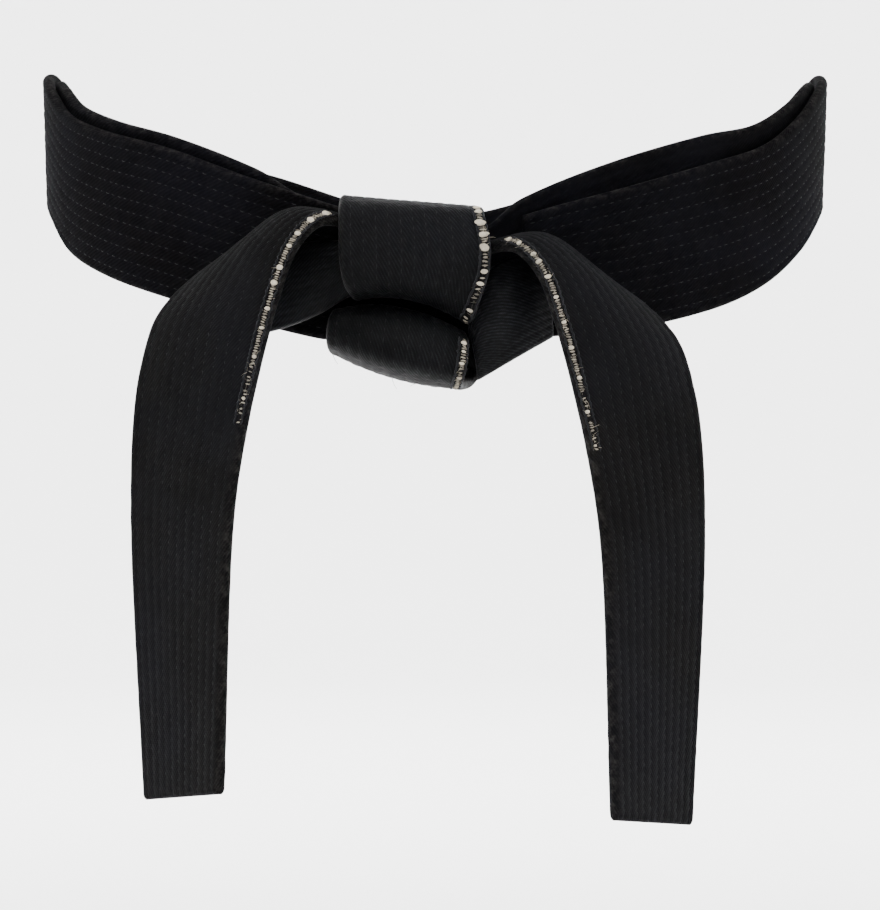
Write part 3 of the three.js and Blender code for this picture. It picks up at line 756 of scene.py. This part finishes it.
on_belt = lambda piece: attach(piece, "belt")
wrap_bead = lambda share: 1.15 + 0.7 * math.sin(math.pi * min(1, 0.12 + share)) ** 2
roll_bead = lambda share: 0.95 - 0.15 * share
tail_bead = lambda share: 1.5 - 0.85 * share
place_fray(fray("knot_fray", front_wrap, 0.42, 0.93, False, 5, wrap_bead, 0),
           "knot_frayed_core", on_belt)
place_fray(fray("roll_fray", lower_roll, 0.2, 0.56, False, 6, roll_bead, 9),
           "knot_roll_frayed_core", on_belt)


def loose_threads(name, band, places, seed):
    """Long single threads that hang from a frayed edge. places: (t, u, side, length) each."""
    rng = np.random.default_rng(seed)
    paths, radii = [], []
    for t, u, side, length in places:
        P, across, out = frames(band, np.array([t]), np.array([u]))
        k = np.linspace(0, 1, 14)[:, None]
        curl = np.sin(k * rng.uniform(2.5, 5) + rng.uniform(0, 3)) * across[0] * 0.22
        fall = np.array([[0, 0, -1.0]]) * k ** 1.3 * 0.75 + side * across[0] * k * 0.8
        paths.append(P[0] + out[0] * (HALF - 0.2) + (fall + (curl - curl[:1]) * k) * length)
        radii.append(np.linspace(0.1, 0.05, 14))
    piece = tubes(name, paths, radii, THREAD, sides=5)
    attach(piece, "belt")


loose_threads("knot_loose_threads", lower_roll,
              [(0.52, 0.04, 1, 3.4), (0.5, 0.47, 1, 5.6), (0.52, 0.68, -1, 2.4)], 8)


def hanging_end(side, seed):
    """One hanging end: three strips that meet halfway between its creases, each holding one crease."""
    hem_share = 0.012        # of the end's length, that the batting stops short of the hem
    lift = LEFT_LIFT if side == "left" else 0
    band = Strand(tail_rows(side), -1 if side == "left" else 1)
    t = np.linspace(0.5, 1, 4000)
    z = band.point(t, np.full(len(t), 0.5))[:, 2]
    at_height = lambda height: float(np.interp(-height, -z, t))
    foot = DRAPE[-1][0][2] - FIRST_CREASE + lift
    creases = [at_height(foot - i * CREASE_SPACING) for i in range(3)]
    cuts = [0.0] + [at_height(foot - (i + 0.5) * CREASE_SPACING) for i in range(2)] + [1.0]
    stands_for = [["drape", "upper"], ["middle"], ["lower"]]
    relief = Relief(seed, GROOVE, PUCKER)

    def bend(piece, i):
        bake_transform(piece)

    ts, ss = length_table(band, 0, 1)
    for i, parts in enumerate(stands_for):
        v0 = float(np.interp(cuts[i], ts, ss))
        ends = dict(round_start=i == 0, round_end=i == 2, v0=v0)
        label = f"{side}_end_{i + 1}"
        cover, total = strip(label, band, cuts[i], cuts[i + 1], 1.3, relief, BELT, **ends)
        core_end = cuts[i + 1] if i < 2 else 1 - hem_share
        core = core_strip(label, band, cuts[i], core_end, 5.0, seed, **ends)
        thread = stitches(label + "_stitching", band, cuts[i], cuts[i + 1], relief, THREAD, v0)
        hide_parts(*[f"{side}_tail_{p}_cover" for p in parts])
        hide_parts(*[f"{side}_tail_{p}_core" for p in parts])
        for piece, slot in ((cover, "black_cotton"), (core, "batting_core"), (thread, "black_cotton")):
            bend(piece, i)
        declare_sheet(band, cuts[i], cuts[i + 1])
    made = fray(side + "_fray", band, 0.17, creases[0] - 0.012, True, seed + 3, tail_bead, 8)
    place_fray(made, f"{side}_tail_frayed_core", lambda piece: bend(piece, 0))


hanging_end("left", 31)
hanging_end("right", 41)
